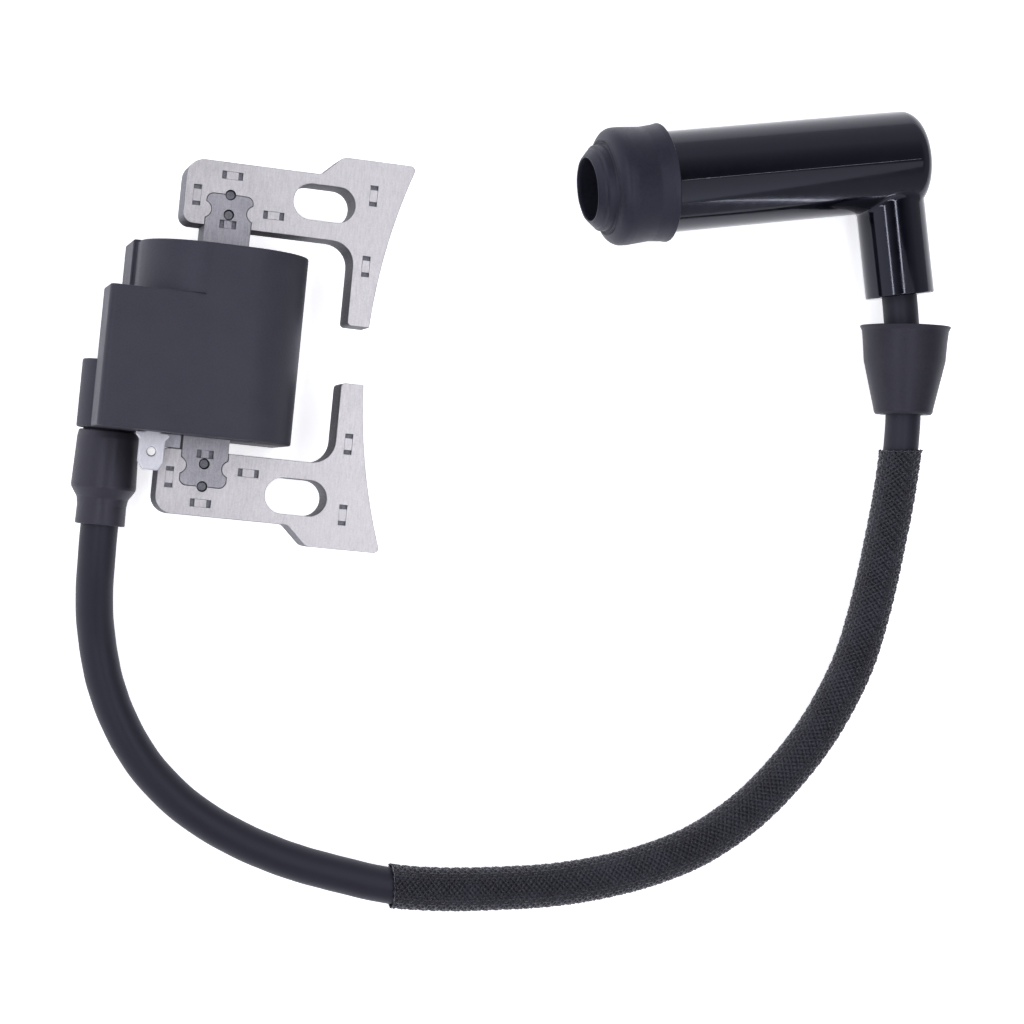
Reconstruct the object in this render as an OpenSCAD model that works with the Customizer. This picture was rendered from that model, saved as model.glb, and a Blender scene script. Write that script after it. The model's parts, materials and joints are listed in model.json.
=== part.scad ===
// Ignition coil for a small engine: a laminated core with two pole shoes, a potted
// coil housing, and a high tension lead with a braided sleeve that ends in an elbow
// spark plug cap. Millimetres. +Z is the coil's front, +Y runs along the core leg and
// +X points at the flywheel. The origin is midway between the two mounting slots, on
// the core's back face. The coil lies on the back of its housing.

/* [Laminated core] */
// Distance between the centres of the two mounting slots
slot_spacing = 55; // [54:0.5:57]
// End-to-end length of a mounting slot
slot_length = 11.7; // [10:0.1:13]
// Width of a mounting slot, clear of an M6 screw
slot_width = 6.7; // [6.2:0.1:7]
// Thickness of the lamination stack
core_thickness = 8; // [7:0.5:8.5]
// Width of a shoe's arm
arm_width = 12; // [11.5:0.1:12.5]
// Radius of the two pole faces
pole_radius = 108; // [100:2:140]
// Width of the core leg that carries the windings
leg_width = 8.6; // [8.2:0.1:9]

/* [Housing] */
// Width of the winding chamber
chamber_width = 31.2; // [30.8:0.1:31.6]
// Radius of the chamber's two front edges
chamber_radius = 12; // [9:0.5:13]
// Depth from the chamber's front to the back rim
housing_depth = 30.2; // [29.8:0.1:30.6]
// Wall thickness
wall = 1.6; // [1.4:0.1:1.8]
// Diameter of the high tension tower
tower_diameter = 12.2; // [11.8:0.1:12.3]

/* [Lead] */
// Outer diameter of the high tension lead
lead_diameter = 7; // [6.8:0.1:7.1]
// Outer diameter of the braided sleeve
sleeve_diameter = 8.6; // [8.4:0.1:9]

/* [Spark plug cap] */
// Outer diameter of the cap's barrel
barrel_diameter = 19.7; // [19:0.1:19.9]
// Outer diameter of the elbow
elbow_diameter = 13.4; // [13:0.1:13.4]
// Length of the elbow from the barrel's axis
elbow_length = 26.9; // [25:0.1:28]
// Largest diameter of the mouth seal
seal_diameter = 23; // [22.5:0.1:23.5]
// Bore of the mouth seal, and of the well behind it that takes the plug's insulator
mouth_diameter = 12; // [11.8:0.1:12.4]

/* [Hidden] */
$fn = 72;
eps = 0.01;

// Core: the arms' inner edge, outer edge and the poles' outer edge, measured from y = 0
slot_to_edge = 6.7;
arm_inner = slot_spacing / 2 - slot_to_edge;
arm_outer = arm_inner + arm_width;
shoe_left = -26;
step_start = -1.1;
step_end = 2.8;
pole_step = 3.7;
pole_outer = arm_outer + pole_step;
pole_leg_x = 6.5;
pole_leg_end = 5.4;
pole_tip_x = 16.9;
pole_centre_x = pole_tip_x + sqrt(pole_radius * pole_radius - pole_outer * pole_outer);
tip_round = 0.9;
leg_x = -17.6;

// Jigsaw keys that join the core leg to the upper and the lower shoe
key_ends = [slot_spacing / 2 - 0.7, slot_spacing / 2 - 0.2];
key_neck_y = slot_spacing / 2 - 3.8;
key_neck_width = 6.5;
key_notch_r = 1.6;
key_corner_r = 1.3;
key_seam = 0.05;
pin_y = slot_spacing / 2 - 4.4;
pin_places = [key_ends[0], pin_y, -pin_y, -key_ends[1]];
pin_r = 0.9;
pin_clearance = 0.05;
pin_sink = 0.5;

// Interlock stakes pressed into each shoe: x, y and the way the stake runs
stakes = [
    [leg_x, arm_outer - 2.4, 0], [-23.8, arm_outer - 6.7, 90], [-9.3, arm_inner + 3.2, 0],
    [9.1, arm_outer - 2.8, 90], [8.9, arm_inner - 4.1, 90]
];
stake_length = 3.8;
stake_width = 1.4;
stake_end = 0.8;
stake_depth = 0.55;
stake_pad_depth = 0.15;
key_stake_y = arm_inner + 0.5;

// Housing
front_z = 19.2;
rim_z = front_z - housing_depth;
chamber_x0 = leg_x - chamber_width / 2;
chamber_x1 = leg_x + chamber_width / 2;
housing_y0 = -18.3;
housing_y1 = 16.6;
box_x0 = -38.9;
box_x1 = chamber_x0 + chamber_radius;
box_y1 = 7.2;
box_z0 = 7;
box_edge_r = 1.3;
flange_x0 = -34;
flange_y1 = housing_y1 + 0.5;
flange_z = 3;
resin_z = rim_z + 0.6;
resin_gap = 0.02;
opening_gap = 0.1;

// High tension tower, boot and the end of the lead in it
tower_x = -34.6;
tower_z = -2;
tower_end = -5.6;
spigot_r = 4.7;
spigot_end = -27;
socket_r = lead_diameter / 2 + 0.1;
socket_bottom = -7.7;
boot_start = housing_y0 - 0.3;
boot_r = 6.05;
boot_neck_r = 4.65;
boot_taper = [29, 31.3];
boot_grip_r = spigot_r + 0.02;
boot_bore_r = lead_diameter / 2 + 0.05;
boot_end = -36.2;
contact_r = 0.8;
contact_bore_r = contact_r + 0.05;
contact_head_r = 2.6;
contact_head_t = 0.75;
contact_back = 6.1;
contact_point = 14.5;
contact_tail_y = -6.65;
contact_tail_r = 0.5;
contact_tail = tower_diameter / 2 - 0.05;

// Windings round the core leg, whose centre line is at mid-thickness
core_z = core_thickness / 2;
primary_y = 13;
secondary_y = 14;
primary_tube = [leg_width + 2, core_thickness + 2];
primary_size = [15, 14.2];
secondary_tube = [17.6, 16.8];
flange_size = [21.2, 22.4];
flange_t = 0.9;
flange_count = 7;
flange_pitch = (2 * secondary_y - flange_t) / (flange_count - 1);
board_x = -36.3;
board_t = 1.2;
board_y = [-14.8, 3.6];
board_z = [9, 17.2];
transistor_y = [-10, 0];
transistor_z = [9.4, 16.4];

// Terminals
terminal_x = -28;
terminal_z = 11.6;
terminal_t = 0.8;
terminal_width = 4.8;
terminal_end = -25.3;
terminal_tail = 3.2;
terminal_flare = 0.7;
terminal_corner = 1;
terminal_hole_r = 0.75;
terminal_hole_y = -21.9;
strap_x = [-25.7, -22.2];
strap_z = core_thickness - 1.4;
tail_y = -14.9;

// Cap: where the barrel's and the elbow's axes cross, its turn on the table, and the tilt
// that the bigger mouth seal gives it. In its own frame the barrel points along -X and
// the elbow along -Y.
cap_x = 113.6;
cap_y = 51.05;
cap_z = -1;
cap_turn = 12.4;
cap_tilt = 2;
barrel_r = barrel_diameter / 2;
barrel_end = 6.7;
barrel_end_r = 3.2;
barrel_mouth = 55;
well_bottom = 38;
pocket_r = 5.2;
pocket_bottom = 28;
chamber_bore_r = 4.3;
chamber_end = -3;
elbow_bore_r = lead_diameter / 2 + 0.3;
screw_head_r = 2.4;
screw_bore_r = screw_head_r + 0.3;
screw_shoulder = 8.5;
screw_top = -2;
screw_core_r = 1.1;
screw_point = 18;
lead_end = screw_shoulder + 0.1;

// Mouth seal, from its rim on the barrel to its lip
seal_rim_u = 47.8;
seal_waist_u = 52;
seal_shoulder_u = 59.4;
seal_shoulder_r = 2.6;
lip_u = 63.1;
lip_r = 8.4;
lip_edge = 1.9;
seal_gap = 0.2;

// Cable seal, a cone with a cup that takes the elbow's end
cable_seal_top = 33;
cable_seal_length = 17.7;
cable_seal_cup_r = elbow_diameter / 2 + 0.35;
cable_seal_cup = 9;
cable_seal_rim_r = 9.1;
cable_seal_foot_r = 5.9;

// The lead bends inside the cable seal, this far from the barrel's axis and by this angle
seal_bend = 36.5;
seal_lean = 8.3;

// What the cap holds: distances are along the barrel, towards the mouth
resistor_u = [7, 22.9];
resistor_r = 2.6;
spring_u = [3.1, 6.6];
spring_r = 1.9;
spring_wire_r = 0.3;
spring_turns = 4;
spring_steps = 12;
plug_nut_bore_r = 3.2;
plug_nut_r = 4.2;
plug_nut_end = 38;
plug_nut_bottom = 28.2;
plug_flange_r = 5.1;
plug_flange_t = 1.2;
clip_u = 34;
clip_r = 4.6;
clip_wire_r = 0.35;
clip_angle = 300;

// The lead's route: out of the tower, down to the table, round in one loop, straight up the
// cable seal's axis, and straight up the elbow's
elbow_way = [sin(cap_turn), -cos(cap_turn), 0];
function on_elbow(d) = [cap_x, cap_y, cap_z] + d * elbow_way;
seal_turn = cap_turn - seal_lean;
seal_way = [sin(seal_turn), -cos(seal_turn), 0];
function on_seal(d) = on_elbow(seal_bend) + (d - seal_bend) * seal_way;
free_route = [
    [-34.6, -8.5, -2], [-34.6, -18, -2], [-34.6, -27, -2], [-34.6, -37, -2.1],
    [-34.4, -44, -3.2], [-33.8, -51, -5.4], [-32.4, -58, -7.2], [-30, -66, -7.5],
    [-26, -74, -7.5], [-20.4, -81.4, -7.5], [-12.5, -88, -7.5], [-3, -93, -7.5],
    [7.5, -96.6, -7.5], [18, -98.8, -7.4], [28.4, -100.3, -6.9], [39, -100.3, -6.7],
    [50, -99.4, -6.7], [60.5, -98.1, -6.7], [71, -95.8, -6.7], [81, -92.5, -6.7],
    [90.5, -87.8, -6.7], [99.6, -80.7, -6.7], [106.8, -72.6, -6.7], [112.4, -64.4, -6.7],
    [116.4, -56.5, -6.7], [119.4, -48.5, -6.7], [121.3, -40, -6.7], [122.5, -32, -6.5],
    [123.05, -24, -5.5], [123.25, -16, -3.9], [123, -6.1, -1.9]
];
route = concat(
    free_route,
    [on_seal(51.2), on_seal(40.2), on_elbow(33.5) - [0.3, 0, 0], on_elbow(20), on_elbow(lead_end)]
);
sleeve_first = 14;
sleeve_last = 30;
lead_sides = 12;

// ---- helpers ----

function unit(v) = v / norm(v);
function turned(v, a) = [v.x * cos(a) - v.y * sin(a), v.x * sin(a) + v.y * cos(a)];

// The points of one corner c between p and q, rounded to radius r
function corner(p, c, q, r, n) =
    r <= 0 ? [c] :
    let (u = unit(p - c), v = unit(q - c), phi = acos(u * v))
    let (middle = c + unit(u + v) * r / sin(phi / 2))
    let (from = c + u * r / tan(phi / 2) - middle)
    let (turn = (180 - phi) * sign(cross(c - p, q - c)))
    [for (k = [0:n]) middle + turned(from, turn * k / n)];

function xy(p) = [p[0], p[1]];

// An outline whose corners are [x, y, radius]
function rounded(corners, n = 8) =
    let (count = len(corners))
    [for (i = [0:count - 1])
        each corner(xy(corners[(i + count - 1) % count]), xy(corners[i]),
                    xy(corners[(i + 1) % count]), corners[i][2], n)];

// Centred rectangle with true round corners
module soft_square(size, r) {
    square([size.x - 2 * r, size.y], center = true);
    square([size.x, size.y - 2 * r], center = true);
    for (sx = [-1, 1], sy = [-1, 1]) {
        translate([sx * (size.x / 2 - r), sy * (size.y / 2 - r)])
            circle(r);
    }
}

// An outline in X and Z, extruded from y0 to y1
module along_y(y0, y1) {
    translate([0, y1, 0])
        rotate([90, 0, 0])
            linear_extrude(y1 - y0)
                children();
}

// A profile of [radius, distance along -Y], turned about the Y axis through x, z
module turned_along_y(x, z, profile) {
    translate([x, 0, z])
        rotate([90, 0, 0])
            rotate_extrude()
                polygon(profile);
}

// One ring of a tube that follows the points of path
function tangent(path, i) = unit(path[min(i + 1, len(path) - 1)] - path[max(i - 1, 0)]);
function ring(path, i, r, sides, ref) =
    let (t = tangent(path, i), side = unit(cross(t, ref)), up = cross(side, t))
    [for (k = [0:sides - 1]) path[i] + r * (cos(360 * k / sides) * side + sin(360 * k / sides) * up)];
function rings(path, r, sides, ref) =
    [for (i = [0:len(path) - 1]) each ring(path, i, r, sides, ref)];

// The quads between two loops of points, which start at a and b
function band(a, b, sides) =
    [for (k = [0:sides - 1]) [a + k, a + (k + 1) % sides, b + (k + 1) % sides, b + k]];

module tube(path, r, sides, ref = [0, 0, 1]) {
    last = (len(path) - 1) * sides;
    polyhedron(
        points = rings(path, r, sides, ref),
        faces = concat(
            [[for (k = [sides - 1:-1:0]) k]],
            [for (i = [0:len(path) - 2]) each band(i * sides, (i + 1) * sides, sides)],
            [[for (k = [0:sides - 1]) last + k]]
        )
    );
}

module hollow_tube(path, r_out, r_in, sides, ref = [0, 0, 1]) {
    count = len(path) * sides;
    last = count - sides;
    polyhedron(
        points = concat(rings(path, r_out, sides, ref), rings(path, r_in, sides, ref)),
        faces = concat(
            [for (i = [0:len(path) - 2]) each band(i * sides, (i + 1) * sides, sides)],
            [for (i = [0:len(path) - 2])
                each band(count + (i + 1) * sides, count + i * sides, sides)],
            band(count, 0, sides),
            band(last, count + last, sides)
        )
    );
}

// ---- laminated core ----

// End of the core leg: a head on a neck. Grown by seam it is the recess in a shoe.
module key_outline(from_y, key_end, seam) {
    half = leg_width / 2 + seam;
    difference() {
        translate([leg_x, 0])
            polygon(rounded([
                [-half, from_y, 0], [half, from_y, 0],
                [half, key_end + seam, key_corner_r], [-half, key_end + seam, key_corner_r]
            ]));
        for (side = [-1, 1]) {
            translate([leg_x + side * (key_neck_width / 2 + key_notch_r), key_neck_y])
                circle(key_notch_r - seam);
        }
    }
}

// A stake pressed into the stack's front: a shallow pad between two deeper ends
module stake(at, length) {
    translate([at[0], at[1], core_thickness])
        rotate([0, 0, at[2]]) {
            translate([-length / 2, -stake_width / 2, -stake_pad_depth])
                cube([length, stake_width, 1]);
            for (side = [-1, 1]) {
                translate([side * (length - stake_end) / 2, 0, -stake_depth / 2])
                    cube([stake_end, stake_width, stake_depth + eps], center = true);
            }
        }
}

module center_core() {
    color([0.62, 0.62, 0.65])
        difference() {
            linear_extrude(core_thickness)
                difference() {
                    union() {
                        translate([leg_x - leg_width / 2, -arm_inner])
                            square([leg_width, 2 * arm_inner]);
                        for (m = [0, 1]) {
                            mirror([0, m, 0])
                                key_outline(arm_inner - 1, key_ends[m], 0);
                        }
                    }
                    for (y = pin_places) {
                        translate([leg_x, y])
                            circle(pin_r + pin_clearance);
                    }
                }
            for (side = [-1, 1]) {
                stake([leg_x, side * key_stake_y, 0], 3);
            }
        }
}

module shoe_outline(key_end) {
    tip_y = pole_outer - tip_round;
    tip_x = pole_centre_x - sqrt(pow(pole_radius + tip_round, 2) - tip_y * tip_y);
    tip_way = unit([pole_centre_x - tip_x, -tip_y]);
    face = [tip_x, tip_y] + tip_round * tip_way;
    difference() {
        polygon(rounded([
            [shoe_left, arm_inner, 2], [pole_leg_x, arm_inner, 4.3], [pole_leg_x, pole_leg_end, 0.8],
            [pole_tip_x + 2, pole_leg_end, 0], [pole_tip_x + 2, face.y, 0], [face.x, face.y, 0],
            [tip_x, pole_outer, 0], [step_end, pole_outer, 2], [step_start, arm_outer, 1.5],
            [shoe_left, arm_outer, 3.2]
        ]));
        translate([pole_centre_x, 0])
            circle(pole_radius, $fn = 360);
        translate([0, slot_spacing / 2])
            slot_outline();
        key_outline(arm_inner - 5, key_end, key_seam);
        translate([leg_x, key_end])
            circle(pin_r + pin_clearance);
    }
    translate([tip_x, tip_y])
        circle(tip_round);
}

module slot_outline() {
    reach = (slot_length - slot_width) / 2;
    square([2 * reach, slot_width], center = true);
    for (side = [-1, 1]) {
        translate([side * reach, 0])
            circle(slot_width / 2);
    }
}

module pole_shoe(key_end) {
    difference() {
        linear_extrude(core_thickness)
            shoe_outline(key_end);
        for (at = stakes) {
            stake(at, stake_length);
        }
    }
}

module upper_pole_shoe() {
    color([0.72, 0.72, 0.75])
        pole_shoe(key_ends[0]);
}

module lower_pole_shoe() {
    color([0.72, 0.72, 0.75])
        mirror([0, 1, 0])
            pole_shoe(key_ends[1]);
}

module core_pins() {
    color([0.4, 0.4, 0.42])
        for (y = pin_places) {
            translate([leg_x, y, 0])
                cylinder(r = pin_r, h = core_thickness - pin_sink);
        }
}

// ---- housing ----

// Section of the winding chamber in X and Z, drawn in by inset, from z0 to the front
module chamber_section(inset, z0) {
    r = chamber_radius - inset;
    x0 = chamber_x0 + inset;
    x1 = chamber_x1 - inset;
    top = front_z - inset;
    translate([x0, z0])
        square([x1 - x0, top - r - z0]);
    translate([x0 + r, z0])
        square([x1 - x0 - 2 * r, top - z0]);
    for (x = [x0 + r, x1 - r]) {
        translate([x, top - r])
            circle(r, $fn = 120);
    }
}

module box_section(inset, z0) {
    r = box_edge_r - inset / 2;
    x0 = box_x0 + inset;
    top = front_z - inset;
    translate([x0, z0])
        square([box_x1 - x0, top - r - z0]);
    translate([x0 + r, z0])
        square([box_x1 - x0 - r, top - z0]);
    translate([x0 + r, top - r])
        circle(r);
}

// The space inside the walls, less a gap all round: the box has a floor, and the chamber is open
module cavity(gap, z0) {
    inset = wall + gap;
    along_y(housing_y0 + inset, housing_y1 - inset)
        chamber_section(inset, z0);
    along_y(housing_y0 + inset, box_y1 - inset)
        box_section(inset, box_z0 + inset);
}

// A round bar on the tower's axis, from y1 down to y0
module along_tower(r, y1, y0) {
    translate([tower_x, y1, tower_z])
        rotate([90, 0, 0])
            cylinder(r = r, h = y1 - y0);
}

// The contact's tail, from the tower's axis through its inner side to the windings
module contact_branch(gap, extra) {
    translate([tower_x, contact_tail_y, tower_z])
        rotate([0, 90, 0])
            cylinder(r = contact_tail_r + gap, h = contact_tail + extra);
}

module core_passage(y0, y1) {
    along_y(y0, y1)
        translate([leg_x, core_z])
            square([leg_width + 2 * opening_gap, core_thickness + 2 * opening_gap], center = true);
}

module terminal_openings() {
    for (slit = [
        [terminal_x - terminal_tail / 2, terminal_x + terminal_tail / 2, terminal_z],
        [strap_x[0], strap_x[1], strap_z]
    ]) {
        translate([slit[0] - opening_gap, housing_y0 - 1, slit[2] - opening_gap])
            cube([
                slit[1] - slit[0] + 2 * opening_gap, tail_y - housing_y0 + 1,
                terminal_t + 2 * opening_gap
            ]);
    }
}

module housing() {
    color([0.16, 0.165, 0.2])
        difference() {
            union() {
                difference() {
                    union() {
                        along_y(housing_y0, housing_y1)
                            chamber_section(0, rim_z);
                        along_y(housing_y0, box_y1)
                            box_section(0, box_z0);
                        translate([flange_x0, housing_y0, rim_z])
                            cube([chamber_x0 - flange_x0 + 1, flange_y1 - housing_y0, flange_z - rim_z]);
                    }
                    cavity(0, rim_z - 1);
                }
                along_tower(tower_diameter / 2, tower_end, housing_y0);
                along_tower(spigot_r, tower_end, spigot_end);
            }
            along_tower(socket_r, socket_bottom, spigot_end - 1);
            along_tower(contact_bore_r, 0.05 - contact_back, socket_bottom - 1);
            contact_branch(0.05, 1);
            core_passage(housing_y0 - 1, housing_y1 + 1);
            terminal_openings();
        }
}

module winding_space() {
    along_y(-secondary_y - 0.05, secondary_y + 0.05)
        translate([leg_x, core_z])
            soft_square([flange_size.x + 0.1, flange_size.y + 0.1], 4.5);
}

module board_space() {
    translate([board_x - 0.05, board_y[0] - 0.05, board_z[0] - 0.05])
        cube([board_t + 0.1, board_y[1] - board_y[0] + 0.1, board_z[1] - board_z[0] + 0.1]);
    translate([board_x + board_t - 0.05, transistor_y[0] - 0.05, transistor_z[0] - 0.05])
        cube([4.2, transistor_y[1] - transistor_y[0] + 0.1, transistor_z[1] - transistor_z[0] + 0.1]);
}

module potting_resin() {
    color([0.09, 0.09, 0.1])
        difference() {
            cavity(resin_gap, resin_z);
            winding_space();
            board_space();
            core_passage(housing_y0, housing_y1);
            terminal_openings();
            along_tower(tower_diameter / 2 + resin_gap, tower_end + resin_gap, housing_y0 - 1);
        }
}

// ---- windings and electronics ----

module primary_bobbin() {
    color([0.75, 0.72, 0.62])
        difference() {
            union() {
                along_y(-primary_y, primary_y)
                    translate([leg_x, core_z])
                        square(primary_tube, center = true);
                for (y = [-primary_y, primary_y - 1]) {
                    along_y(y, y + 1)
                        translate([leg_x, core_z])
                            soft_square(primary_size, 2);
                }
            }
            core_passage(-primary_y - 1, primary_y + 1);
        }
}

module primary_winding() {
    color([0.72, 0.38, 0.16])
        along_y(-primary_y + 1.05, primary_y - 1.05)
            translate([leg_x, core_z])
                difference() {
                    soft_square([primary_size.x - 0.4, primary_size.y - 0.4], 2);
                    square([primary_tube.x + 0.1, primary_tube.y + 0.1], center = true);
                }
}

module secondary_bobbin() {
    color([0.82, 0.8, 0.7])
        difference() {
            union() {
                along_y(-secondary_y, secondary_y)
                    translate([leg_x, core_z])
                        soft_square(secondary_tube, 2);
                for (i = [0:flange_count - 1]) {
                    along_y(-secondary_y + i * flange_pitch, -secondary_y + i * flange_pitch + flange_t)
                        translate([leg_x, core_z])
                            soft_square(flange_size, 4.5);
                }
            }
            along_y(-secondary_y - 1, secondary_y + 1)
                translate([leg_x, core_z])
                    square([primary_size.x + 0.3, primary_size.y + 0.3], center = true);
        }
}

module secondary_winding() {
    color([0.66, 0.33, 0.13])
        for (i = [0:flange_count - 2]) {
            along_y(
                -secondary_y + i * flange_pitch + flange_t + 0.05,
                -secondary_y + (i + 1) * flange_pitch - 0.05
            )
                translate([leg_x, core_z])
                    difference() {
                        soft_square([flange_size.x - 1.2, flange_size.y - 1.2], 4);
                        soft_square([secondary_tube.x + 0.1, secondary_tube.y + 0.1], 2);
                    }
        }
}

module trigger_board() {
    color([0.1, 0.35, 0.2])
        translate([board_x, board_y[0], board_z[0]])
            cube([board_t, board_y[1] - board_y[0], board_z[1] - board_z[0]]);
}

module power_transistor() {
    color([0.12, 0.12, 0.13])
        translate([board_x + board_t, transistor_y[0], transistor_z[0]])
            cube([4.1, transistor_y[1] - transistor_y[0], transistor_z[1] - transistor_z[0]]);
}

// ---- terminals, boot and lead ----

module kill_terminal() {
    half = terminal_width / 2;
    wide = half + terminal_flare;
    tail = terminal_tail / 2;
    narrow = half - terminal_corner;
    top = housing_y0;
    bottom = terminal_end;
    // The right side, from the tail in the resin down to the tip
    side = [
        [tail, tail_y], [tail, top], [wide, top], [wide, top - 0.7], [half, top - 1.5],
        [half, bottom + 1.5], [narrow, bottom]
    ];
    color([0.82, 0.83, 0.84])
        translate([terminal_x, 0, terminal_z])
            linear_extrude(terminal_t)
                difference() {
                    polygon(concat(
                        side, [for (i = [len(side) - 1:-1:0]) [-side[i].x, side[i].y]]
                    ));
                    translate([0, terminal_hole_y])
                        circle(terminal_hole_r);
                }
}

module ground_strap() {
    color([0.66, 0.66, 0.68])
        translate([strap_x[0], -arm_inner, strap_z])
            cube([strap_x[1] - strap_x[0], arm_inner + tail_y, terminal_t]);
}

module high_tension_contact() {
    head = contact_head_t - socket_bottom;
    color([0.8, 0.66, 0.3]) {
        turned_along_y(tower_x, tower_z, [
            [0, contact_back], [contact_r, contact_back], [contact_r, -socket_bottom],
            [contact_head_r, -socket_bottom], [contact_head_r, head], [contact_r, head],
            [contact_r, contact_point - 1.5], [0, contact_point]
        ]);
        contact_branch(0, 0);
    }
}

module coil_boot() {
    color([0.13, 0.13, 0.14])
        turned_along_y(tower_x, tower_z, [
            [boot_grip_r, -boot_start], [boot_r, -boot_start], [boot_r, boot_taper[0]],
            [boot_neck_r, boot_taper[1]], [boot_neck_r, -boot_end], [boot_bore_r, -boot_end],
            [boot_bore_r, 0.3 - spigot_end], [boot_grip_r, 0.3 - spigot_end]
        ]);
}

module lead() {
    color([0.17, 0.17, 0.19])
        tube(route, lead_diameter / 2, lead_sides);
}

module braided_sleeve() {
    color([0.1, 0.1, 0.11])
        hollow_tube(
            [for (i = [sleeve_first:sleeve_last]) route[i]],
            sleeve_diameter / 2, lead_diameter / 2 + 0.3, lead_sides
        );
}

// ---- spark plug cap, in its own frame ----

module place_cap() {
    translate([cap_x, cap_y, cap_z])
        rotate([0, 0, cap_turn])
            rotate([0, cap_tilt, 0])
                children();
}

module place_cable_seal() {
    translate(on_elbow(seal_bend))
        rotate([0, 0, seal_turn])
            translate([0, seal_bend, 0])
                children();
}

// A profile of [radius, distance towards the mouth], turned about the barrel's axis
module turned_barrel(profile) {
    rotate([0, -90, 0])
        rotate_extrude()
            polygon(profile);
}

// A profile of [radius, distance down the elbow], turned about the elbow's axis
module turned_elbow(profile) {
    rotate([90, 0, 0])
        rotate_extrude()
            polygon(profile);
}

module lead_screw() {
    color([0.8, 0.66, 0.3])
        place_cap()
            turned_elbow([
                [0, screw_top], [screw_head_r, screw_top], [screw_head_r, screw_shoulder],
                [screw_core_r, screw_shoulder], [screw_core_r, screw_point - 3], [0, screw_point]
            ]);
}

module cable_seal() {
    bottom = cable_seal_top + cable_seal_length;
    color([0.15, 0.15, 0.165])
        place_cable_seal()
            turned_elbow([
                [cable_seal_cup_r, cable_seal_top], [cable_seal_rim_r, cable_seal_top],
                [cable_seal_rim_r - 0.5, cable_seal_top + 0.9],
                [cable_seal_rim_r - 0.9, cable_seal_top + 7], [cable_seal_foot_r, bottom - 0.5],
                [cable_seal_foot_r - 0.5, bottom], [elbow_bore_r, bottom],
                [elbow_bore_r, cable_seal_top + cable_seal_cup],
                [cable_seal_cup_r, cable_seal_top + cable_seal_cup]
            ]);
}

module cap_body() {
    end_arc = corner(
        [0, -barrel_end], [barrel_r, -barrel_end], [barrel_r, barrel_mouth], barrel_end_r, 8
    );
    color([0.07, 0.07, 0.08])
        place_cap()
            difference() {
                union() {
                    turned_barrel(concat(
                        [[0, -barrel_end]], end_arc, [[barrel_r, barrel_mouth], [0, barrel_mouth]]
                    ));
                    turned_elbow([
                        [0, 0], [elbow_diameter / 2, 0], [elbow_diameter / 2, elbow_length],
                        [0, elbow_length]
                    ]);
                }
                turned_barrel([
                    [0, chamber_end], [chamber_bore_r, chamber_end], [chamber_bore_r, pocket_bottom],
                    [pocket_r, pocket_bottom], [pocket_r, well_bottom], [mouth_diameter / 2, well_bottom],
                    [mouth_diameter / 2, barrel_mouth + 1], [0, barrel_mouth + 1]
                ]);
                turned_elbow([
                    [0, 0], [screw_bore_r, 0], [screw_bore_r, screw_shoulder],
                    [elbow_bore_r, screw_shoulder], [elbow_bore_r, elbow_length + 1],
                    [0, elbow_length + 1]
                ]);
            }
}

module mouth_seal() {
    r = seal_diameter / 2;
    grip_r = barrel_r + 0.02;
    shoulder = corner(
        [lip_r, seal_shoulder_u], [r, seal_shoulder_u], [r, seal_rim_u], seal_shoulder_r, 8
    );
    color([0.14, 0.14, 0.155])
        place_cap()
            turned_barrel(concat(
                [
                    [mouth_diameter / 2, lip_u], [lip_r - lip_edge, lip_u], [lip_r, lip_u - lip_edge],
                    [lip_r, seal_shoulder_u]
                ],
                shoulder,
                [
                    [r - 0.35, seal_waist_u], [r - 0.1, seal_rim_u + 0.8], [r + 0.1, seal_rim_u],
                    [grip_r, seal_rim_u], [grip_r, barrel_mouth + seal_gap],
                    [mouth_diameter / 2, barrel_mouth + seal_gap]
                ]
            ));
}

module cap_resistor() {
    color([0.85, 0.8, 0.68])
        place_cap()
            turned_barrel([
                [0, resistor_u[0]], [resistor_r, resistor_u[0]], [resistor_r, resistor_u[1]],
                [0, resistor_u[1]]
            ]);
}

module cap_spring() {
    count = spring_turns * spring_steps;
    pitch = (spring_u[1] - spring_u[0]) / count;
    color([0.75, 0.75, 0.77])
        place_cap()
            tube(
                [for (i = [0:count])
                    let (a = 360 * i / spring_steps)
                    [-spring_u[0] - pitch * i, spring_r * cos(a), spring_r * sin(a)]],
                spring_wire_r, 8, [1, 0, 0]
            );
}

module plug_terminal() {
    flange = pocket_bottom + 0.05;
    color([0.8, 0.66, 0.3])
        place_cap()
            turned_barrel([
                [0, resistor_u[1] + 0.1], [plug_nut_r, resistor_u[1] + 0.1], [plug_nut_r, flange],
                [plug_flange_r, flange], [plug_flange_r, flange + plug_flange_t],
                [plug_nut_r, flange + plug_flange_t], [plug_nut_r, plug_nut_end],
                [plug_nut_bore_r, plug_nut_end], [plug_nut_bore_r, plug_nut_bottom],
                [0, plug_nut_bottom]
            ]);
}

module terminal_clip() {
    color([0.7, 0.7, 0.72])
        place_cap()
            translate([-clip_u, 0, 0])
                rotate([0, -90, 0])
                    rotate_extrude(angle = clip_angle)
                        translate([clip_r, 0])
                            circle(clip_wire_r, $fn = 24);
}

housing();
potting_resin();
center_core();
upper_pole_shoe();
lower_pole_shoe();
core_pins();
primary_bobbin();
primary_winding();
secondary_bobbin();
secondary_winding();
trigger_board();
power_transistor();
kill_terminal();
ground_strap();
high_tension_contact();
coil_boot();
lead();
braided_sleeve();
lead_screw();
cable_seal();
cap_body();
mouth_seal();
cap_resistor();
cap_spring();
plug_terminal();
terminal_clip();
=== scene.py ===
"""The looks of a small engine's ignition coil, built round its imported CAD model.

Lengths here are in millimetres, and mesh_piece() turns them into metres. Places come from the CAD nodes'
boxes, from the cap's joint and mount, and from the lead's route, which repeats the CAD's.
"""

import json
import math
import random

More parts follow.
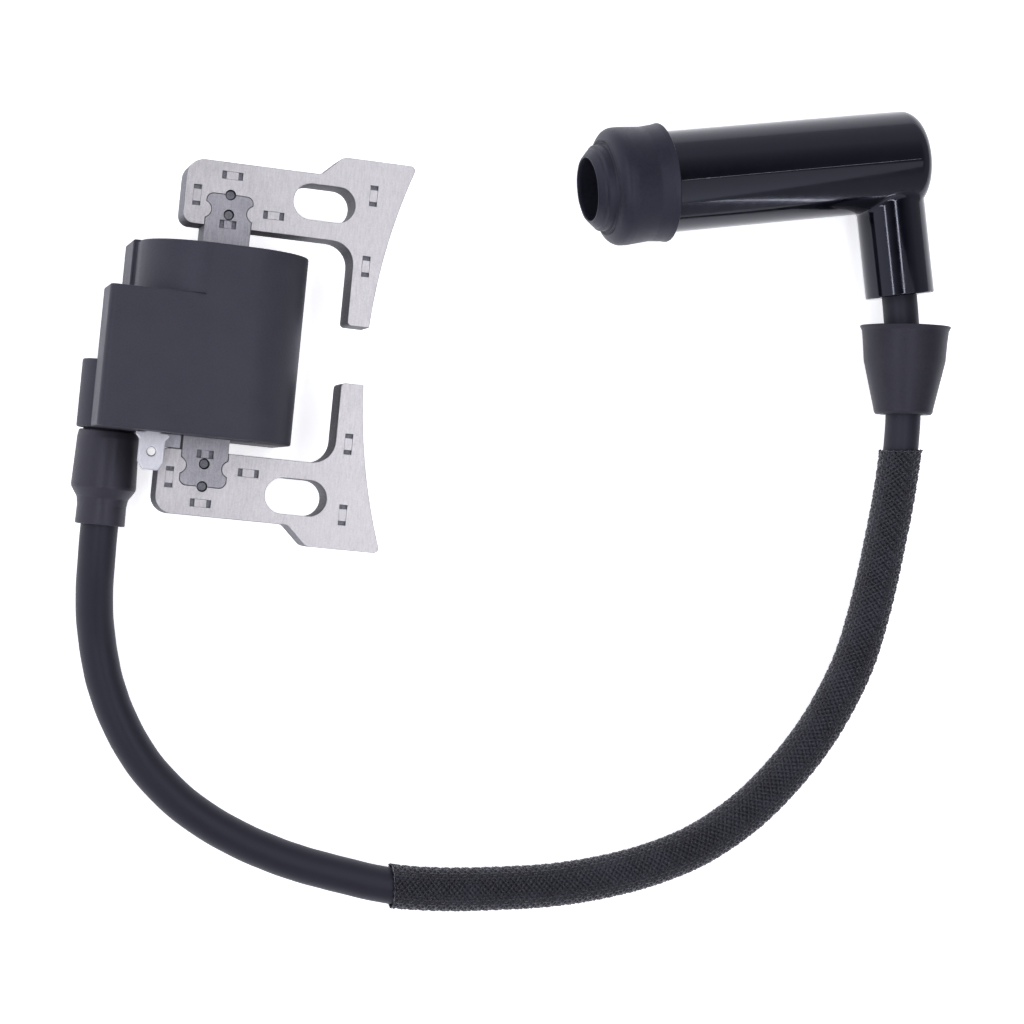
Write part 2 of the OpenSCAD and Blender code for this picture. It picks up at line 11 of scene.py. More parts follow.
import bmesh
import bpy
import numpy as np
from mathutils import Matrix, Vector, noise


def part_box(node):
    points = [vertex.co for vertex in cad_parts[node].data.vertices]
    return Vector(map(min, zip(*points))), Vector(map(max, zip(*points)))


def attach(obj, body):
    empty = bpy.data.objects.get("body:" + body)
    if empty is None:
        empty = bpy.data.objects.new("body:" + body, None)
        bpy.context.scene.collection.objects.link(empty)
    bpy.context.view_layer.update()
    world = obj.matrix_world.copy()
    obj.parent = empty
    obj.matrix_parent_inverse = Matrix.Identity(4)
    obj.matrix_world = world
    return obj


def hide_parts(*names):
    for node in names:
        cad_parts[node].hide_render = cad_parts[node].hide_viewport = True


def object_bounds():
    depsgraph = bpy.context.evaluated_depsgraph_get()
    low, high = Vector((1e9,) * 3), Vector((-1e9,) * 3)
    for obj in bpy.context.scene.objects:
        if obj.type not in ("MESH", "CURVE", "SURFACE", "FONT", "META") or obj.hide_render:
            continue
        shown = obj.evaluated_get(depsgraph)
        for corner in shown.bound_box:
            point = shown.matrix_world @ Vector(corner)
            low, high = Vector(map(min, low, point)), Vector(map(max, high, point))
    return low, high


MM = 0.001
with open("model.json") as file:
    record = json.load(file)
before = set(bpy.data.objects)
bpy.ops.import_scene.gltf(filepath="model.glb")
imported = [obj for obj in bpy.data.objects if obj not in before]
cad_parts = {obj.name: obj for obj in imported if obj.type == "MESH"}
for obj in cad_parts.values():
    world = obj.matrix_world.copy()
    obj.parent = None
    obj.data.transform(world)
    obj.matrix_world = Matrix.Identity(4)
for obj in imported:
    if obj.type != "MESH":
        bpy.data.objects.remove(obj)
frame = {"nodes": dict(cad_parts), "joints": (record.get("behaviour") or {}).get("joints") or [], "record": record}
cad_low, cad_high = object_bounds()
rng = random.Random(7)
noise.seed_set(7)

COIL, SEAL, CAP = "coil_and_lead", "cable_seal", "plug_cap"


def box_mm(node):
    """Lowest and highest corner of a CAD node, in millimetres."""
    low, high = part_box(node)
    return low / MM, high / MM


# ---- camera ----

CAMERA_AT = Vector((-83.94, -34.34, 501.6))
CAMERA_AIM = Vector((45.48, -25.98, -7.5))
CAMERA_ROLL = -0.0996
CAMERA_FOV = math.radians(21.6)


def make_camera():
    """A camera where the photographer stood, nearly overhead and turned a little."""
    data = bpy.data.cameras.new("camera")
    data.angle = CAMERA_FOV
    data.clip_start, data.clip_end = 0.01, 10
    camera = bpy.data.objects.new("camera", data)
    bpy.context.scene.collection.objects.link(camera)
    back = (CAMERA_AT - CAMERA_AIM).normalized()
    upright = Vector((math.sin(CAMERA_ROLL), math.cos(CAMERA_ROLL), 0))
    right = upright.cross(back).normalized()
    turn = Matrix((right, back.cross(right), back)).transposed()
    camera.matrix_world = Matrix.Translation(CAMERA_AT * MM) @ turn.to_4x4()
    bpy.context.scene.camera = camera


# ---- meshes ----


def finish_mesh(bm, name, body, materials, sharp_deg, planes=False):
    """A piece from a bmesh in metres, smooth apart from edges sharper than sharp_deg, riding on a body.

    With planes, faces square to an axis are shaded flat, so rounded rims don't shade them.
    """
    bmesh.ops.recalc_face_normals(bm, faces=bm.faces)
    mesh = bpy.data.meshes.new(name)
    bm.to_mesh(mesh)
    bm.free()
    mesh.shade_smooth()
    mesh.set_sharp_from_angle(angle=math.radians(sharp_deg))
    if planes:
        mesh.polygons.foreach_set("use_smooth", [max(map(abs, f.normal)) < 0.9999 for f in mesh.polygons])
    for material in materials if isinstance(materials, list) else [materials]:
        mesh.materials.append(material)
    piece = bpy.data.objects.new(name, mesh)
    bpy.context.scene.collection.objects.link(piece)
    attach(piece, body)
    return piece


def mesh_piece(name, body, material, points, faces, sharp_deg=35):
    """A piece from points in millimetres."""
    mesh = bpy.data.meshes.new("draft")
    mesh.from_pydata([tuple(MM * c for c in p) for p in points], [], faces)
    bm = bmesh.new()
    bm.from_mesh(mesh)
    bpy.data.meshes.remove(mesh)
    bmesh.ops.remove_doubles(bm, verts=bm.verts, dist=1e-7)
    return finish_mesh(bm, name, body, material, sharp_deg)


def rounded(corners, steps=6):
    """An outline whose corners (a, b, radius) are rounded."""
    out = []
    for i, (a, b, radius) in enumerate(corners):
        here = Vector((a, b))
        before, after = Vector(corners[i - 1][:2]), Vector(corners[(i + 1) % len(corners)][:2])
        if radius <= 0:
            out.append(here)
            continue
        u, v = (before - here).normalized(), (after - here).normalized()
        half = u.angle(v) / 2
        middle = here + (u + v).normalized() * radius / math.sin(half)
        start = here + u * radius / math.tan(half) - middle
        way = math.copysign(math.pi - 2 * half, (here - before).cross(after - here))
        out += [middle + Matrix.Rotation(way * k / steps, 2) @ start for k in range(steps + 1)]
    return out


def lathe(profile, place, sides=96, wobble=0):
    """Points and faces of a closed profile of (radius, distance) turned about place's X axis.

    A moulding's wobble is how far its surface strays, in millimetres.
    """
    points, faces = [], []
    count = len(profile)
    for k in range(sides):
        angle = math.tau * k / sides
        for radius, along in profile:
            c, d = math.cos(angle), math.sin(angle)
            if wobble:
                stray = noise.noise_vector(Vector((c * 2.2, d * 2.2, along * 0.22)))
                radius, along = radius + wobble * stray.x, along + wobble * stray.y
            points.append(place @ Vector((along, radius * c, radius * d)))
        for i in range(count):
            j, after = (i + 1) % count, (k + 1) % sides
            faces.append((k * count + i, k * count + j, after * count + j, after * count + i))
    return points, faces


def cad_bmesh(node):
    """A copy of a CAD node's mesh, joined up and without the lines across its flat faces."""
    bm = bmesh.new()
    bm.from_mesh(frame["nodes"][node].data)
    bmesh.ops.remove_doubles(bm, verts=bm.verts, dist=2e-6)
    bmesh.ops.dissolve_limit(bm, angle_limit=math.radians(1), verts=bm.verts, edges=bm.edges)
    return bm


# ---- materials ----


class Shader:
    """A node material built by short calls: each makes a node and gives back its output."""

    def __init__(self, name, **settings):
        self.material = bpy.data.materials.new(name)
        self.material.use_nodes = True
        self.nodes, self.links = self.material.node_tree.nodes, self.material.node_tree.links
        self.shader = self.nodes["Principled BSDF"]
        for socket, value in settings.items():
            self.shader.inputs[socket.replace("_", " ")].default_value = value

    def place(self, scale=(1, 1, 1)):
        """Object coordinates in millimetres, stretched by scale."""
        coordinates = self.nodes.new("ShaderNodeTexCoord")
        mapping = self.nodes.new("ShaderNodeMapping")
        mapping.inputs["Scale"].default_value = [s / MM for s in scale]
        self.links.new(coordinates.outputs["Object"], mapping.inputs["Vector"])
        return mapping.outputs["Vector"]

    def noise(self, size, scale=(1, 1, 1), detail=4, rough=0.55):
        """Noise whose blotches are about size millimetres across."""
        node = self.nodes.new("ShaderNodeTexNoise")
        node.inputs["Scale"].default_value = 1 / size
        node.inputs["Detail"].default_value = detail
        node.inputs["Roughness"].default_value = rough
        self.links.new(self.place(scale), node.inputs["Vector"])
        return node.outputs["Fac"]

    def ramp(self, fac, *stops):
        """Stops are (position, value or colour)."""
        node = self.nodes.new("ShaderNodeValToRGB")
        elements = node.color_ramp.elements
        while len(elements) < len(stops):
            elements.new(0.5)
        for element, (position, value) in zip(elements, stops):
            element.position = position
            element.color = (*value, 1) if hasattr(value, "__len__") else (value, value, value, 1)
        self.links.new(fac, node.inputs["Fac"])
        return node.outputs["Color"]

    def math(self, kind, a, b):
        node = self.nodes.new("ShaderNodeMath")
        node.operation = kind
        for socket, value in zip(node.inputs, (a, b)):
            if isinstance(value, (int, float)):
                socket.default_value = value
            else:
                self.links.new(value, socket)
        return node.outputs["Value"]

    def bump(self, height, depth_mm, strength=1.0):
        """Adds a bump to the normal, over any bump made before it."""
        node = self.nodes.new("ShaderNodeBump")
        node.inputs["Strength"].default_value = strength
        node.inputs["Distance"].default_value = depth_mm * MM
        self.links.new(height, node.inputs["Height"])
        socket = self.shader.inputs["Normal"]
        if socket.is_linked:
            self.links.new(socket.links[0].from_socket, node.inputs["Normal"])
        self.links.new(node.outputs["Normal"], socket)

    def colour(self, output):
        self.links.new(output, self.shader.inputs["Base Color"])

    def roughness(self, output):
        self.links.new(output, self.shader.inputs["Roughness"])


def stamped_steel(name, light, dark, grain=(1, 0.16, 1), rough=(0.36, 0.5), relief=1.0):
    """Silicon steel: a fine grain along Y, cloudy patches and small dark specks."""
    s = Shader(name, Metallic=1.0)
    streaks = s.noise(0.3, grain, detail=5, rough=0.6)
    clouds = s.noise(6.0, detail=3)
    specks = s.noise(0.35, detail=6, rough=0.8)
    mixed = s.math("ADD", s.math("MULTIPLY", streaks, 0.35), s.math("MULTIPLY", clouds, 0.25))
    mixed = s.math("ADD", mixed, s.math("MULTIPLY", specks, 0.4))
    s.colour(s.ramp(mixed, (0.36, dark), (0.62, light)))
    s.roughness(s.ramp(s.math("ADD", s.math("MULTIPLY", streaks, 0.5), s.math("MULTIPLY", clouds, 0.5)),
                       (0.3, rough[0]), (0.7, rough[1])))
    s.bump(streaks, 0.006 * relief)
    s.bump(specks, 0.008 * relief)
    return s.material


def moulded(name, colour, lift, grain_mm, grain_depth, rough, **settings):
    """Plastic or rubber: a fine moulded grain and faint cloudy scuffs, from colour to colour plus lift."""
    s = Shader(name, **settings)
    clouds = s.noise(9.0, detail=5, rough=0.6)
    grain = s.noise(grain_mm, detail=3)
    mixed = s.math("ADD", s.math("MULTIPLY", clouds, 0.5), s.math("MULTIPLY", grain, 0.5))
    s.colour(s.ramp(mixed, (0.35, colour), (0.65, tuple(c + lift for c in colour))))
    s.roughness(s.ramp(mixed, (0.35, rough[0]), (0.68, rough[1])))
    s.bump(grain, grain_depth)
    return s.material


def turned_metal(name, light, dark, rough=(0.25, 0.4)):
    """Metal off a lathe or a wire drawer: fine marks and faint clouds."""
    s = Shader(name, Metallic=1.0)
    fine = s.noise(0.3, detail=5, rough=0.7)
    clouds = s.noise(3.0, detail=3)
    mixed = s.math("ADD", s.math("MULTIPLY", fine, 0.5), s.math("MULTIPLY", clouds, 0.5))
    s.colour(s.ramp(mixed, (0.35, dark), (0.65, light)))
    s.roughness(s.ramp(clouds, (0.3, rough[0]), (0.7, rough[1])))
    s.bump(fine, 0.01)
    return s.material


def yarn_material(name, dark, light):
    """Polyester yarn: many thin filaments that run along the cord's strands."""
    s = Shader(name, Sheen_Weight=0.15, Sheen_Roughness=0.4)
    fibres = s.noise(0.08, detail=4, rough=0.6)
    clouds = s.noise(5.0, detail=4)
    s.colour(s.ramp(clouds, (0.35, dark), (0.7, light)))
    s.roughness(s.ramp(fibres, (0.3, 0.18), (0.7, 0.34)))
    s.bump(fibres, 0.03)
    return s.material


# Plastics and rubbers that reflect with a blue cast
NAVY = {"Specular_Tint": (0.84, 0.86, 1, 1)}

MATERIALS = {
    "housing_plastic": moulded(
        "housing_plastic", (0.035, 0.0335, 0.0425), 0.014, 0.32, 0.03, (0.45, 0.6), **NAVY),
    "resin": moulded("resin", (0.008, 0.008, 0.01), 0.003, 2.5, 0.05, (0.08, 0.2), **NAVY),
    "core_steel": stamped_steel("core_steel", (0.4, 0.39, 0.405), (0.25, 0.246, 0.257)),
    "shoe_steel": stamped_steel("shoe_steel", (0.58, 0.557, 0.55), (0.4, 0.385, 0.383)),
    # Darker steel for the stacks' sides and lower steps: partly the real cut edges, partly painted shade
    "cut_steel_and_shade": stamped_steel(
        "cut_steel_and_shade", (0.3, 0.3, 0.32), (0.14, 0.14, 0.15), (1, 1, 0.15), (0.5, 0.65)),
    "cut_yarn": moulded("cut_yarn", (0.16, 0.16, 0.18), 0.08, 0.3, 0.02, (0.4, 0.6)),
    # Pale grey for the raised flash on the parting line: the ridge is real, its pale colour is a painted highlight
    "flash_and_painted_highlight": moulded("flash_and_painted_highlight", (0.12, 0.12, 0.135), 0.05, 0.3, 0.01, (0.35, 0.5)),
    "pin_steel": turned_metal("pin_steel", (0.25, 0.25, 0.26), (0.1, 0.1, 0.11), (0.35, 0.5)),
    "bobbin_plastic": moulded("bobbin_plastic", (0.62, 0.57, 0.45), 0.06, 0.3, 0.01, (0.4, 0.55)),
    "copper": turned_metal("copper", (0.72, 0.3, 0.12), (0.45, 0.16, 0.06), (0.25, 0.4)),
    "circuit_board": moulded("circuit_board", (0.02, 0.13, 0.06), 0.02, 0.3, 0.01, (0.3, 0.45)),
    "transistor_case": moulded("transistor_case", (0.02, 0.02, 0.021), 0.006, 0.12, 0.015, (0.45, 0.6)),
    "tinplate": stamped_steel(
        "tinplate", (0.64, 0.635, 0.65), (0.52, 0.515, 0.53), (1, 0.3, 1), (0.4, 0.5), 0.3),
    "strap_steel": stamped_steel(
        "strap_steel", (0.5, 0.5, 0.52), (0.34, 0.34, 0.36), (1, 0.1, 1), (0.36, 0.5)),
    "brass": turned_metal("brass", (0.8, 0.58, 0.24), (0.6, 0.4, 0.14)),
    "boot_rubber": moulded("boot_rubber", (0.037, 0.034, 0.042), 0.006, 0.35, 0.012, (0.38, 0.52), **NAVY),
    "lead_rubber": moulded("lead_rubber", (0.0145, 0.013, 0.0195), 0.005, 0.3, 0.012, (0.42, 0.56), **NAVY),
    "braid": yarn_material("braid_yarn", (0.007, 0.007, 0.012), (0.02, 0.02, 0.03)),
    # Near black for the sheet inside the braid: painted shade in the gaps between the yarns
    "braid_gap_shade": yarn_material("braid_gap_shade", (0.003, 0.003, 0.004), (0.005, 0.005, 0.006)),
    "seal_rubber": moulded("seal_rubber", (0.0105, 0.0105, 0.019), 0.01, 0.5, 0.02, (0.36, 0.54), **NAVY),
    "cone_rubber": moulded("cone_rubber", (0.019, 0.0165, 0.022), 0.01, 0.5, 0.02, (0.4, 0.55), **NAVY),
    "cap_plastic": moulded(
        "cap_plastic", (0.002, 0.0023, 0.006), 0.0015, 1.6, 0.004, (0.09, 0.18), Coat_Weight=0.3, **NAVY),
    "ceramic": moulded("ceramic", (0.72, 0.66, 0.54), 0.05, 0.3, 0.01, (0.35, 0.5)),
    "spring_steel": turned_metal("spring_steel", (0.62, 0.62, 0.64), (0.4, 0.4, 0.42), (0.2, 0.35)),
}


def paint_cad_nodes():
    """Every CAD node gets its record slot's material, whether it shows or is stood for."""
    for part in frame["record"]["subparts"]:
        node = frame["nodes"][part["node"]]
        node.data.materials.clear()
        node.data.materials.append(MATERIALS[part["material_slot"]])
        if not node.data.polygons[0].use_smooth:
            node.data.shade_smooth()
            node.data.set_sharp_from_angle(angle=math.radians(30))


# ---- the cap's own frame ----

joints = {j["name"]: j for j in frame["joints"]}
mounts = {m["name"]: m for m in frame["record"]["mounts"]}
CAP_AT = Vector(joints["cap_swivel"]["pos_m"]) / MM
ELBOW_UP = Vector(joints["cap_swivel"]["axis"]).normalized()
MOUTH_WAY = Vector(mounts["plug_well"]["axis"]).normalized()


def axis_frame(origin, way, side):
    """A frame whose X axis is way and whose Y axis is as near side as it can be."""
    third = way.cross(side).normalized()
    second = third.cross(way)
    turn = Matrix((way, second, third)).transposed()
    return Matrix.Translation(origin) @ turn.to_4x4()


BARREL = axis_frame(CAP_AT, MOUTH_WAY, ELBOW_UP)
ELBOW = axis_frame(CAP_AT, -ELBOW_UP, MOUTH_WAY)

# The lead bends inside the cable seal, SEAL_BEND from the barrel's axis
SEAL_BEND = 36.5
SEAL_UP = Vector(joints["cable_seal_slide"]["axis"]).normalized()
CABLE_SEAL = axis_frame(CAP_AT + SEAL_BEND * (SEAL_UP - ELBOW_UP), -SEAL_UP, MOUTH_WAY)

# ---- laminated steel ----

# Where the housing's end wall is, beside the stop switch's blade
HOUSING_END = -18.3
SHEET = 0.5
GROOVE = 0.035
GROOVE_HALF = 0.055
SHIFT = 0.015
ROLL = 0.09
BLADE_HOLE_AT = -21.9
BLADE_HOLE_R = 0.76


def bevel_edges(bm, edges, width, steps=2):
    """Edges rounded off by width millimetres on each side."""
    bmesh.ops.bevel(bm, geom=edges, offset=width * MM, offset_type="OFFSET", segments=steps, profile=0.5,
                    affect="EDGES", clamp_overlap=False, miter_outer="ARC")


def rim_edges(bm, z, tolerance=0.01):
    """Edges between the flat face at height z and whatever falls away from it."""
    def flat(face):
        return abs(face.normal.z) > 0.99 and abs(face.calc_center_median().z / MM - z) < tolerance
    return [e for e in bm.edges if len(e.link_faces) == 2 and sum(map(flat, e.link_faces)) == 1]


def laminated(node, name, body, material, roll):
    """A CAD node's shape as a stack of sheets: grooves between them, and rolled rims on the top sheet."""
    bm = cad_bmesh(node)
    top = round(max(v.co.z for v in bm.verts) / MM, 3)
    sheets = round(top / SHEET)
    for k in range(1, sheets):
        for step in (-GROOVE_HALF, 0, GROOVE_HALF):
            bmesh.ops.bisect_plane(
                bm, geom=bm.verts[:] + bm.edges[:] + bm.faces[:], dist=1e-7,
                plane_co=(0, 0, (k * SHEET + step) * MM), plane_no=(0, 0, 1),
            )
    bm.normal_update()
    shifts = [Vector((rng.uniform(-SHIFT, SHIFT), rng.uniform(-SHIFT, SHIFT), 0)) for _ in range(sheets)]
    shifts[-1] = shifts[0] = Vector((0, 0, 0))
    moves = {}
    for vert in bm.verts:
        level = vert.co.z / MM / SHEET
        near = round(level)
        if 0 < near < sheets and abs(level - near) * SHEET < 0.002:
            way = sum((f.normal for f in vert.link_faces), Vector())
            way.z = 0
            if way.length > 0.01:
                moves[vert] = way.normalized() * -GROOVE * MM
        elif 0.01 < vert.co.z / MM < top - 0.01:
            moves[vert] = shifts[min(int(level), sheets - 1)] * MM
    for vert, move in moves.items():
        vert.co += move
    bm.normal_update()
    bevel_edges(bm, rim_edges(bm, top), roll)
    bm.normal_update()
    # Sides, and faces lower than the top sheet, get the darker steel: partly the real cut edges, partly painted
    # shade on the sides and steps
    for face in bm.faces:
        depth = top - face.calc_center_median().z / MM
        if abs(face.normal.z) < 0.5 or 0.3 < depth < top - 0.1:
            face.material_index = 1
    piece = finish_mesh(bm, name, body, [material, MATERIALS["cut_steel_and_shade"]], 28, True)
    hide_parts(node)
    return piece


def edged_cad(node, name, body, material, width):
    """A CAD node's shape with rounded edges, wherever its faces meet at more than 40 degrees."""
    bm = cad_bmesh(node)
    edges = [e for e in bm.edges if len(e.link_faces) == 2 and e.calc_face_angle() > math.radians(40)]
    bevel_edges(bm, edges, width, 3)
    piece = finish_mesh(bm, name, body, material, 30, True)
    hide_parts(node)
    return piece


def make_core():
    """The pole shoes, the core's leg, its pins, and the metal between the core and the housing."""
    for node, slot in (
        ("upper_pole_shoe", "shoe_steel"), ("lower_pole_shoe", "shoe_steel"), ("center_core", "core_steel"),
    ):
        laminated(node, node + "_sheets", COIL, MATERIALS[slot], ROLL)
    pins = edged_cad("core_pins", "core_pins_turned", COIL, MATERIALS["pin_steel"], 0.15)
    make_blade()
    make_strap()


def inset(outline, width):
    """An outline moved in by width on every side."""
    moved = []
    for i, here in enumerate(outline):
        before, after = outline[i - 1], outline[(i + 1) % len(outline)]
        a, b = (here - before).normalized(), (after - here).normalized()
        mitre = Vector((-a.y - b.y, a.x + b.x))
        moved.append(here + mitre * width / (1 + a.dot(b)))
    return moved


def stamped_plate(name, body, material, outlines, z0, z1, coin, drop):
    """A flat plate with coined rims. The first outline runs anticlockwise, and any holes run clockwise."""
    bm = bmesh.new()
    top_edges, bottom_edges = [], []
    for outline in outlines:
        inner = inset(outline, coin)
        partway = inset(outline, coin * 0.3)
        levels = ((outline, z0), (outline, z1 - drop), (partway, z1 - drop * 0.35), (inner, z1))
        rings = [[bm.verts.new((x * MM, y * MM, z * MM)) for x, y in ring] for ring, z in levels]
        count = len(outline)
        for below, above in zip(rings, rings[1:]):
            for i in range(count):
                bm.faces.new((below[i], below[(i + 1) % count], above[(i + 1) % count], above[i]))
        bottom_edges += [bm.edges.get((rings[0][i], rings[0][(i + 1) % count])) for i in range(count)]
        top_edges += [bm.edges.get((rings[-1][i], rings[-1][(i + 1) % count])) for i in range(count)]
    bmesh.ops.triangle_fill(bm, use_beauty=True, edges=top_edges)
    bmesh.ops.triangle_fill(bm, use_beauty=True, edges=bottom_edges)
    return finish_mesh(bm, name, body, material, 50, True)


def make_blade():
    """The stop switch's blade: flared where it leaves the housing, with a coined rim and hole."""
    low, high = box_mm("kill_terminal")
    middle = (low.x + high.x) / 2
    right = [
        (1.6, high.y, 0.1), (1.6, HOUSING_END, 0), (3.1, HOUSING_END, 0.2), (3.08, HOUSING_END - 0.7, 0.3),
        (2.4, HOUSING_END - 1.5, 0.5), (2.4, low.y + 1.5, 0.4), (1.4, low.y, 0.3),
    ]
    corners = [(middle - x, y, r) for x, y, r in right]
    corners += [(middle + x, y, r) for x, y, r in reversed(right)]
    hole = [
        Vector((middle + BLADE_HOLE_R * math.cos(a), BLADE_HOLE_AT - BLADE_HOLE_R * math.sin(a)))
        for a in (math.tau * k / 40 for k in range(40))
    ]
    blade = stamped_plate("kill_blade", COIL, MATERIALS["tinplate"], [rounded(corners, 4), hole],
                          low.z, high.z, 0.28, 0.13)
    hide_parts("kill_terminal")


def make_strap():
    low, high = box_mm("ground_strap")
    corners = [(low.x, low.y, 0.1), (high.x, low.y, 0.1), (high.x, high.y, 0.1), (low.x, high.y, 0.1)]
    strap = stamped_plate("ground_strap_plate", COIL, MATERIALS["strap_steel"], [rounded(corners, 3)],
                          low.z, high.z, 0.12, 0.06)
    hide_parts("ground_strap")


def make_housing():
    housing = edged_cad("housing", "housing_shell", COIL, MATERIALS["housing_plastic"], 0.35)


# ---- turned rubber pieces ----

TURNED_SIDES = 128
TURNED_WOBBLE = 0.05
TOWER_AT = Vector((-34.6, 0, -2))


def turned(name, body, material, place, corners, node):
    """A rubber piece that stands for a CAD node: its outline's corners, turned about place's X axis."""
    points, faces = lathe(rounded(corners), place, TURNED_SIDES, TURNED_WOBBLE)
    piece = mesh_piece(name, body, material, points, faces, 40)
    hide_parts(node)
    return piece


def make_boot():
    """The boot on the coil's tower. Corners are (radius, distance from the middle of the core, rounding)."""
    place = axis_frame(TOWER_AT, Vector((0, -1, 0)), Vector((1, 0, 0)))
    turned("boot_rubber", COIL, MATERIALS["boot_rubber"], place, [
        (4.75, 18.65, 0.1), (5.5, 18.65, 0.3), (5.72, 20.0, 0.8), (6.03, 28.9, 0.5), (5.95, 29.4, 0.4),
        (4.78, 31.2, 0.7), (4.55, 32.6, 1.5), (4.63, 36.1, 0.12), (4.4, 36.18, 0.1), (3.62, 36.18, 0.15),
        (3.56, 35.2, 0.3), (3.56, 27.35, 0.1), (4.73, 27.35, 0.1),
    ], "coil_boot")


def make_cable_seal():
    turned("cable_seal_rubber", SEAL, MATERIALS["cone_rubber"], CABLE_SEAL, [
        (7.2, 33.2, 0.12), (7.95, 33.32, 0.5), (8.95, 33.02, 0.06), (9.08, 33.12, 0.06), (8.66, 34.0, 1.2),
        (8.42, 36.3, 3), (8.15, 40.0, 4), (5.95, 49.6, 1.5), (5.86, 50.2, 0.5), (5.55, 50.67, 0.25),
        (4.1, 50.67, 0.25), (3.85, 50.0, 0.3), (3.82, 42.3, 0.2), (4.4, 42.05, 0.3), (7.15, 42.0, 0.6),
    ], "cable_seal")


def make_mouth_seal():
    turned("mouth_seal_rubber", CAP, MATERIALS["seal_rubber"], BARREL, [
        (6.02, 55.3, 0.1), (9.89, 55.25, 0.1), (9.91, 47.95, 0.15), (11.35, 47.82, 0.08),
        (11.58, 48.0, 0.1), (11.38, 48.9, 0.8), (11.12, 51.6, 4), (11.45, 56.2, 4), (11.4, 58.7, 2.4),
        (9.7, 59.5, 0.4), (9.3, 59.75, 0.15), (8.7, 59.4, 0.15), (8.42, 59.9, 0.12), (8.32, 61.25, 0.3),
        (7.75, 61.6, 0.12), (7.6, 61.95, 0.15), (6.4, 63.08, 0.25), (6.12, 62.95, 0.1), (6.05, 62.4, 0.3),
    ], "mouth_seal")


# ---- the lead's centre line ----

FREE_ROUTE = [
    (-34.6, -8.5, -2), (-34.6, -18, -2), (-34.6, -27, -2), (-34.6, -37, -2.1),
    (-34.4, -44, -3.2), (-33.8, -51, -5.4), (-32.4, -58, -7.2), (-30, -66, -7.5),
    (-26, -74, -7.5), (-20.4, -81.4, -7.5), (-12.5, -88, -7.5), (-3, -93, -7.5),
    (7.5, -96.6, -7.5), (18, -98.8, -7.4), (28.4, -100.3, -6.9), (39, -100.3, -6.7),
    (50, -99.4, -6.7), (60.5, -98.1, -6.7), (71, -95.8, -6.7), (81, -92.5, -6.7),
    (90.5, -87.8, -6.7), (99.6, -80.7, -6.7), (106.8, -72.6, -6.7), (112.4, -64.4, -6.7),
    (116.4, -56.5, -6.7), (119.4, -48.5, -6.7), (121.3, -40, -6.7), (122.5, -32, -6.5),
    (123.05, -24, -5.5), (123.25, -16, -3.9), (123, -6.1, -1.9),
]
SEAL_STEPS = (51.2, 40.2)
ELBOW_STEPS = (20, 8.6)
SLEEVE_FIRST, SLEEVE_LAST = 14, 30
LEAD_R = 3.5
STEP = 0.5
SPLINE_STEPS = 24


class Line:
    """A smooth line through points, with a frame that doesn't twist at every STEP millimetres."""

    def __init__(self, points):
        points = [Vector(p) for p in points]
        ends = [2 * points[0] - points[1], *points, 2 * points[-1] - points[-2]]
        fine, marks = [], []
        for a, b, c, d in zip(ends, ends[1:], ends[2:], ends[3:]):
            marks.append(len(fine))
            for k in range(SPLINE_STEPS):
                t = k / SPLINE_STEPS
                fine.append(0.5 * (2 * b + (c - a) * t + (2 * a - 5 * b + 4 * c - d) * t**2
                                   + (3 * b - a - 3 * c + d) * t**3))
        fine.append(points[-1])
        marks.append(len(fine) - 1)
        fine = np.array(fine)
        run = np.concatenate([[0], np.cumsum(np.linalg.norm(np.diff(fine, axis=0), axis=1))])
        self.length = run[-1]
        self.at_point = [run[m] for m in marks]
        self.s = np.linspace(0, self.length, round(self.length / STEP) + 1)
        self.p = np.stack([np.interp(self.s, run, fine[:, k]) for k in range(3)], axis=1)
        self.t = np.gradient(self.p, axis=0)
        self.t /= np.linalg.norm(self.t, axis=1)[:, None]
        side = np.cross(self.t[0], (0, 0, 1))
        sides = []
        for t in self.t:
            side = side - t * (side @ t)
            side = side / np.linalg.norm(side)
            sides.append(side)
        self.side = np.array(sides)
        self.up = np.cross(self.side, self.t)

    def surface(self, s, angle, radius):
        """Points at distance s along the line, at an angle round it and a radius from it."""
        def sample(rows):
            return np.stack([np.interp(s, self.s, rows[:, k]) for k in range(3)], axis=-1)
        c, d = (radius * np.cos(angle))[..., None], (radius * np.sin(angle))[..., None]
        return sample(self.p) + c * sample(self.side) + d * sample(self.up)


ROUTE = FREE_ROUTE + [CABLE_SEAL @ Vector((d, 0, 0)) for d in SEAL_STEPS]
ROUTE += [ELBOW @ Vector((33.5, 0, 0)) - Vector((0.3, 0, 0))]
ROUTE += [ELBOW @ Vector((d, 0, 0)) for d in ELBOW_STEPS]
LEAD_LINE = Line(ROUTE)
SLEEVE_FROM, SLEEVE_TO = LEAD_LINE.at_point[SLEEVE_FIRST], LEAD_LINE.at_point[SLEEVE_LAST]


def tube_faces(rings, sides):
    """Faces of an open tube of rings, closed by a cap at each end."""
    faces = [
        (i * sides + k, i * sides + (k + 1) % sides, (i + 1) * sides + (k + 1) % sides, (i + 1) * sides + k)
        for i in range(rings - 1) for k in range(sides)
    ]
    faces.append(tuple(reversed(range(sides))))
    faces.append(tuple(range((rings - 1) * sides, rings * sides)))
    return faces


def make_lead():
    """The lead's insulation: round, with the faint flats and ripples of an extrusion."""
    sides = 40
    s = LEAD_LINE.s[::2]
    angles = np.arange(sides) * math.tau / sides
    grid_s, grid_a = np.meshgrid(s, angles, indexing="ij")
    ripple = 0.018 * np.sin(grid_s * 0.9 + 2 * np.sin(grid_s * 0.11)) * np.cos(grid_a)
    flats = 0.015 * np.cos(3 * grid_a + grid_s * 0.03)
    points = LEAD_LINE.surface(grid_s, grid_a, LEAD_R + ripple + flats).reshape(-1, 3)
    faces = tube_faces(len(s), sides)
    lead = mesh_piece("lead_insulation", COIL, MATERIALS["lead_rubber"], points, faces, 60)
    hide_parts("lead")
    return lead, LEAD_LINE.surface(s, 0 * s, 0 * s)


# ---- braided sleeve ----

